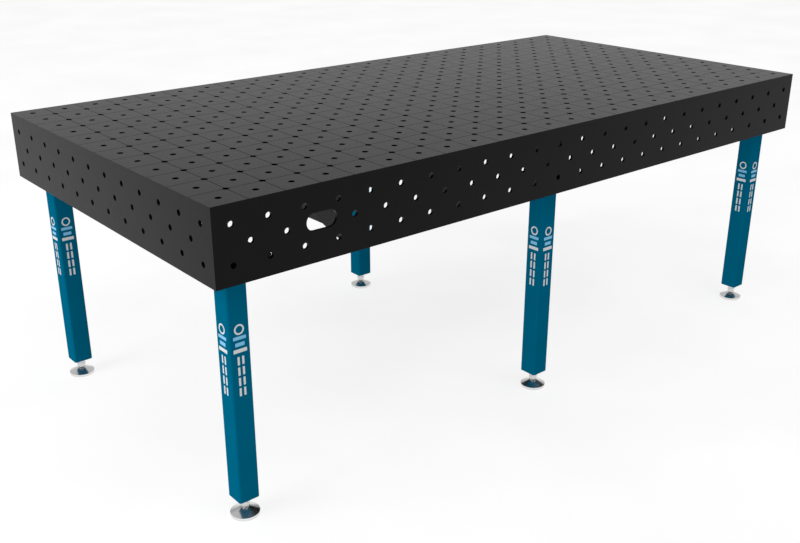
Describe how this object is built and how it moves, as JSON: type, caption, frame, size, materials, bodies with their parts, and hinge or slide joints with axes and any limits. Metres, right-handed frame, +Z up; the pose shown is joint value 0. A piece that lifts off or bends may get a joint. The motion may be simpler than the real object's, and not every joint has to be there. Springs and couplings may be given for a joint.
{
  "type": "welding table",
  "caption": "Perforated steel welding table with deep side panels on ribs, bolted square-tube legs and screw-adjusted levelling feet with swivel discs.",
  "frame": {"origin": "on the floor under the middle of the table top", "axes": "+X along the table's length, +Y from the front panel (the one with the hand slot) to the back panel, +Z up"},
  "size_m": [2.4, 1.2, 0.883],
  "materials": {
    "top_steel": "matte",
    "panel_steel": "satin",
    "rib_steel": "satin",
    "leg_paint": "satin",
    "zinc_plated_steel": "satin",
    "polished_steel": "polished"
  },
  "bodies": {
    "root": {"top_plate": "top_steel", "front_panel": "panel_steel", "back_panel": "panel_steel", "left_end_panel": "panel_steel", "right_end_panel": "panel_steel", "cross_rib_1": "rib_steel", "cross_rib_2": "rib_steel", "cross_rib_3": "rib_steel", "cross_rib_4": "rib_steel", "cross_rib_5": "rib_steel", "long_rib_front": "rib_steel", "long_rib_back": "rib_steel", "leg_bracket_front_left": "rib_steel", "leg_flange_front_left": "leg_paint", "leg_tube_front_left": "leg_paint", "leg_insert_front_left": "leg_paint", "leg_bracket_front_middle": "rib_steel", "leg_flange_front_middle": "leg_paint", "leg_tube_front_middle": "leg_paint", "leg_insert_front_middle": "leg_paint", "leg_bracket_front_right": "rib_steel", "leg_flange_front_right": "leg_paint", "leg_tube_front_right": "leg_paint", "leg_insert_front_right": "leg_paint", "leg_bracket_back_left": "rib_steel", "leg_flange_back_left": "leg_paint", "leg_tube_back_left": "leg_paint", "leg_insert_back_left": "leg_paint", "leg_bracket_back_middle": "rib_steel", "leg_flange_back_middle": "leg_paint", "leg_tube_back_middle": "leg_paint", "leg_insert_back_middle": "leg_paint", "leg_bracket_back_right": "rib_steel", "leg_flange_back_right": "leg_paint", "leg_tube_back_right": "leg_paint", "leg_insert_back_right": "leg_paint"},
    "front_left_nut": {"lock_nut_front_left": "zinc_plated_steel"},
    "front_left_ball": {"swivel_ball_front_left": "zinc_plated_steel"},
    "front_left_spindle": {"spindle_front_left": "zinc_plated_steel"},
    "front_left_disc": {"foot_disc_front_left": "polished_steel"},
    "front_middle_nut": {"lock_nut_front_middle": "zinc_plated_steel"},
    "front_middle_ball": {"swivel_ball_front_middle": "zinc_plated_steel"},
    "front_middle_spindle": {"spindle_front_middle": "zinc_plated_steel"},
    "front_middle_disc": {"foot_disc_front_middle": "polished_steel"},
    "front_right_nut": {"lock_nut_front_right": "zinc_plated_steel"},
    "front_right_ball": {"swivel_ball_front_right": "zinc_plated_steel"},
    "front_right_spindle": {"spindle_front_right": "zinc_plated_steel"},
    "front_right_disc": {"foot_disc_front_right": "polished_steel"},
    "back_left_nut": {"lock_nut_back_left": "zinc_plated_steel"},
    "back_left_ball": {"swivel_ball_back_left": "zinc_plated_steel"},
    "back_left_spindle": {"spindle_back_left": "zinc_plated_steel"},
    "back_left_disc": {"foot_disc_back_left": "polished_steel"},
    "back_middle_nut": {"lock_nut_back_middle": "zinc_plated_steel"},
    "back_middle_ball": {"swivel_ball_back_middle": "zinc_plated_steel"},
    "back_middle_spindle": {"spindle_back_middle": "zinc_plated_steel"},
    "back_middle_disc": {"foot_disc_back_middle": "polished_steel"},
    "back_right_nut": {"lock_nut_back_right": "zinc_plated_steel"},
    "back_right_ball": {"swivel_ball_back_right": "zinc_plated_steel"},
    "back_right_spindle": {"spindle_back_right": "zinc_plated_steel"},
    "back_right_disc": {"foot_disc_back_right": "polished_steel"}
  },
  "joints": [
    {"name": "front_left_foot_height", "type": "slide", "parent": "root", "child": "front_left_ball", "axis": [0, 0, -1], "range_m": [0, 0.05]},
    {"name": "front_left_spindle_turn", "type": "hinge", "parent": "front_left_ball", "child": "front_left_spindle", "pos_m": [-1.117, -0.517, 0.0145], "axis": [0, 0, -1], "range_deg": [0, 9000]},
    {"name": "front_left_disc_tilt", "type": "hinge", "parent": "front_left_ball", "child": "front_left_disc", "pos_m": [-1.117, -0.517, 0.0145], "axis": [1, 0, 0], "range_deg": [-8, 8]},
    {"name": "front_left_lock_nut_turn", "type": "hinge", "parent": "root", "child": "front_left_nut", "pos_m": [-1.117, -0.517, 0.048], "axis": [0, 0, -1], "continuous": true},
    {"name": "front_middle_foot_height", "type": "slide", "parent": "root", "child": "front_middle_ball", "axis": [0, 0, -1], "range_m": [0, 0.05]},
    {"name": "front_middle_spindle_turn", "type": "hinge", "parent": "front_middle_ball", "child": "front_middle_spindle", "pos_m": [-0.019, -0.517, 0.0145], "axis": [0, 0, -1], "range_deg": [0, 9000]},
    {"name": "front_middle_disc_tilt", "type": "hinge", "parent": "front_middle_ball", "child": "front_middle_disc", "pos_m": [-0.019, -0.517, 0.0145], "axis": [1, 0, 0], "range_deg": [-8, 8]},
    {"name": "front_middle_lock_nut_turn", "type": "hinge", "parent": "root", "child": "front_middle_nut", "pos_m": [-0.019, -0.517, 0.048], "axis": [0, 0, -1], "continuous": true},
    {"name": "front_right_foot_height", "type": "slide", "parent": "root", "child": "front_right_ball", "axis": [0, 0, -1], "range_m": [0, 0.05]},
    {"name": "front_right_spindle_turn", "type": "hinge", "parent": "front_right_ball", "child": "front_right_spindle", "pos_m": [1.117, -0.517, 0.0145], "axis": [0, 0, -1], "range_deg": [0, 9000]},
    {"name": "front_right_disc_tilt", "type": "hinge", "parent": "front_right_ball", "child": "front_right_disc", "pos_m": [1.117, -0.517, 0.0145], "axis": [1, 0, 0], "range_deg": [-8, 8]},
    {"name": "front_right_lock_nut_turn", "type": "hinge", "parent": "root", "child": "front_right_nut", "pos_m": [1.117, -0.517, 0.048], "axis": [0, 0, -1], "continuous": true},
    {"name": "back_left_foot_height", "type": "slide", "parent": "root", "child": "back_left_ball", "axis": [0, 0, -1], "range_m": [0, 0.05]},
    {"name": "back_left_spindle_turn", "type": "hinge", "parent": "back_left_ball", "child": "back_left_spindle", "pos_m": [-1.117, 0.517, 0.0145], "axis": [0, 0, -1], "range_deg": [0, 9000]},
    {"name": "back_left_disc_tilt", "type": "hinge", "parent": "back_left_ball", "child": "back_left_disc", "pos_m": [-1.117, 0.517, 0.0145], "axis": [1, 0, 0], "range_deg": [-8, 8]},
    {"name": "back_left_lock_nut_turn", "type": "hinge", "parent": "root", "child": "back_left_nut", "pos_m": [-1.117, 0.517, 0.048], "axis": [0, 0, -1], "continuous": true},
    {"name": "back_middle_foot_height", "type": "slide", "parent": "root", "child": "back_middle_ball", "axis": [0, 0, -1], "range_m": [0, 0.05]},
    {"name": "back_middle_spindle_turn", "type": "hinge", "parent": "back_middle_ball", "child": "back_middle_spindle", "pos_m": [0.07, 0.517, 0.0145], "axis": [0, 0, -1], "range_deg": [0, 9000]},
    {"name": "back_middle_disc_tilt", "type": "hinge", "parent": "back_middle_ball", "child": "back_middle_disc", "pos_m": [0.07, 0.517, 0.0145], "axis": [1, 0, 0], "range_deg": [-8, 8]},
    {"name": "back_middle_lock_nut_turn", "type": "hinge", "parent": "root", "child": "back_middle_nut", "pos_m": [0.07, 0.517, 0.048], "axis": [0, 0, -1], "continuous": true},
    {"name": "back_right_foot_height", "type": "slide", "parent": "root", "child": "back_right_ball", "axis": [0, 0, -1], "range_m": [0, 0.05]},
    {"name": "back_right_spindle_turn", "type": "hinge", "parent": "back_right_ball", "child": "back_right_spindle", "pos_m": [1.117, 0.517, 0.0145], "axis": [0, 0, -1], "range_deg": [0, 9000]},
    {"name": "back_right_disc_tilt", "type": "hinge", "parent": "back_right_ball", "child": "back_right_disc", "pos_m": [1.117, 0.517, 0.0145], "axis": [1, 0, 0], "range_deg": [-8, 8]},
    {"name": "back_right_lock_nut_turn", "type": "hinge", "parent": "root", "child": "back_right_nut", "pos_m": [1.117, 0.517, 0.048], "axis": [0, 0, -1], "continuous": true}
  ],
  "couplings": [
    {"joint": "front_left_spindle_turn", "follows": "front_left_foot_height", "rad_per_m": 3141.6},
    {"joint": "front_middle_spindle_turn", "follows": "front_middle_foot_height", "rad_per_m": 3141.6},
    {"joint": "front_right_spindle_turn", "follows": "front_right_foot_height", "rad_per_m": 3141.6},
    {"joint": "back_left_spindle_turn", "follows": "back_left_foot_height", "rad_per_m": 3141.6},
    {"joint": "back_middle_spindle_turn", "follows": "back_middle_foot_height", "rad_per_m": 3141.6},
    {"joint": "back_right_spindle_turn", "follows": "back_right_foot_height", "rad_per_m": 3141.6}
  ]
}
